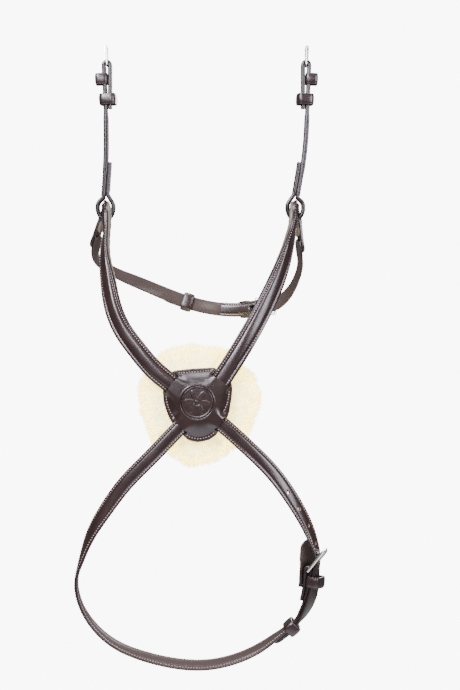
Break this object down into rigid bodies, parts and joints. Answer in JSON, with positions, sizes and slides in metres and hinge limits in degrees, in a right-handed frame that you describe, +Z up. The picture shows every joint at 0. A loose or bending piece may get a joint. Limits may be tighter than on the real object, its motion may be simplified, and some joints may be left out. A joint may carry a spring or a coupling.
{
  "type": "horse breastplate",
  "caption": "Hunting breastplate in dark leather: chest disc with sheepskin pad, padded neck straps, saddle straps with buckles, wither strap and buckled girth loop",
  "frame": {"origin": "centre of the chest disc, on the leather where all four straps meet", "axes": "+Z up towards the saddle, -Y out of the horse's chest, +X the side with the girth buckle"},
  "size_m": [0.3314, 0.1736, 0.8283],
  "materials": {
    "dark_leather": "dark brown bridle leather, waxed grain side with soft sheen",
    "lining_leather": "tan padded lining leather, matt",
    "backing_leather": "dark brown flesh side, matt",
    "core_felt": "pressed felt filler",
    "tape": "hook and loop tape",
    "fleece": "cream sheepskin wool",
    "buckle_metal": "polished stainless steel"
  },
  "bodies": {
    "harness": {"chest_cover": "dark_leather", "chest_core": "core_felt", "chest_backing": "backing_leather", "pad_tape": "tape", "sheepskin_base": "backing_leather", "sheepskin_fleece": "fleece", "neck_strap_left": "dark_leather", "neck_strap_right": "dark_leather", "neck_lining_left": "lining_leather", "neck_lining_right": "lining_leather", "wither_strap": "dark_leather", "wither_billet": "dark_leather", "wither_buckle_frame": "buckle_metal", "wither_buckle_tongue": "buckle_metal", "wither_keeper_fixed": "dark_leather", "girth_strap": "dark_leather", "girth_billet": "dark_leather", "girth_buckle_safe": "dark_leather", "girth_buckle_frame": "buckle_metal", "girth_buckle_tongue": "buckle_metal", "girth_keeper_fixed": "dark_leather"},
    "wither_keeper": {"wither_keeper_sliding": "dark_leather"},
    "girth_keeper": {"girth_keeper_sliding": "dark_leather"},
    "saddle_strap_left": {"dee_strap_left": "dark_leather", "dee_keeper_fixed_left": "dark_leather"},
    "saddle_buckle_left": {"dee_buckle_frame_left": "buckle_metal"},
    "saddle_tongue_left": {"dee_buckle_tongue_left": "buckle_metal"},
    "saddle_keeper_left": {"dee_keeper_sliding_left": "dark_leather"},
    "saddle_strap_right": {"dee_strap_right": "dark_leather", "dee_keeper_fixed_right": "dark_leather"},
    "saddle_buckle_right": {"dee_buckle_frame_right": "buckle_metal"},
    "saddle_tongue_right": {"dee_buckle_tongue_right": "buckle_metal"},
    "saddle_keeper_right": {"dee_keeper_sliding_right": "dark_leather"}
  },
  "joints": [
    {"name": "saddle_strap_left_swing", "type": "hinge", "parent": "harness", "child": "saddle_strap_left", "pos_m": [-0.1249, 0.071, 0.2612], "axis": [0, 1, 0], "range_deg": [-4, 4]},
    {"name": "saddle_buckle_left_tilt", "type": "hinge", "parent": "saddle_strap_left", "child": "saddle_buckle_left", "pos_m": [-0.12305, 0.071, 0.451], "axis": [0, 1, 0], "range_deg": [-25, 25]},
    {"name": "saddle_tongue_left_lift", "type": "hinge", "parent": "saddle_buckle_left", "child": "saddle_tongue_left", "pos_m": [-0.12305, 0.071, 0.451], "axis": [0, -1, 0], "range_deg": [0, 80]},
    {"name": "saddle_keeper_left_slide", "type": "slide", "parent": "saddle_strap_left", "child": "saddle_keeper_left", "axis": [-0.036, 0, 0.9994], "range_m": [-0.02, 0.01]},
    {"name": "saddle_strap_right_swing", "type": "hinge", "parent": "harness", "child": "saddle_strap_right", "pos_m": [0.129, 0.071, 0.2612], "axis": [0, 1, 0], "range_deg": [-4, 4]},
    {"name": "saddle_buckle_right_tilt", "type": "hinge", "parent": "saddle_strap_right", "child": "saddle_buckle_right", "pos_m": [0.14345, 0.071, 0.451], "axis": [0, 1, 0], "range_deg": [-25, 25]},
    {"name": "saddle_tongue_right_lift", "type": "hinge", "parent": "saddle_buckle_right", "child": "saddle_tongue_right", "pos_m": [0.14345, 0.071, 0.451], "axis": [0, 1, 0], "range_deg": [0, 80]},
    {"name": "saddle_keeper_right_slide", "type": "slide", "parent": "saddle_strap_right", "child": "saddle_keeper_right", "axis": [0.0321, 0, 0.9995], "range_m": [-0.02, 0.01]},
    {"name": "wither_keeper_slide", "type": "slide", "parent": "harness", "child": "wither_keeper", "axis": [0.949, 0.051, -0.311], "range_m": [-0.006, 0.006]},
    {"name": "girth_keeper_slide", "type": "slide", "parent": "harness", "child": "girth_keeper", "axis": [0.7373, -0.0875, 0.6699], "range_m": [-0.005, 0.004]}
  ]
}
